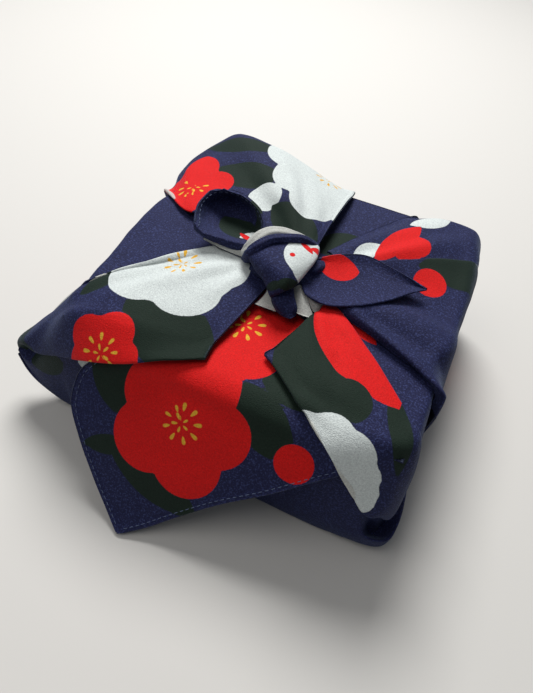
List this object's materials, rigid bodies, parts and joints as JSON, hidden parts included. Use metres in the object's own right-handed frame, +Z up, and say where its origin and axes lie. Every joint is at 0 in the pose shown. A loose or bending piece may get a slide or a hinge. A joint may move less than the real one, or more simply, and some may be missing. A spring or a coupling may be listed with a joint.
{
  "type": "furoshiki wrap on a box",
  "caption": "Square crepe cloth folded round a low square box, its side corners tied on top in a square knot and a loose corner hanging over the front edge.",
  "frame": {"origin": "middle of the box's footprint, on the plane that the wrapped box stands on", "axes": "+Z up out of the plane it stands on; -Y to the side where the loose corner hangs over the edge; +X to the right of that side"},
  "size_m": [0.2562, 0.2778, 0.1183],
  "materials": {
    "printed_crepe": "matt polyester crepe, navy ground with red, off-white and dark green flowers and leaves, pale reverse",
    "plain_card": "plain matt card box, fully covered by the cloth"
  },
  "bodies": {
    "root": {"cloth": "printed_crepe", "box": "plain_card"}
  },
  "joints": []
}
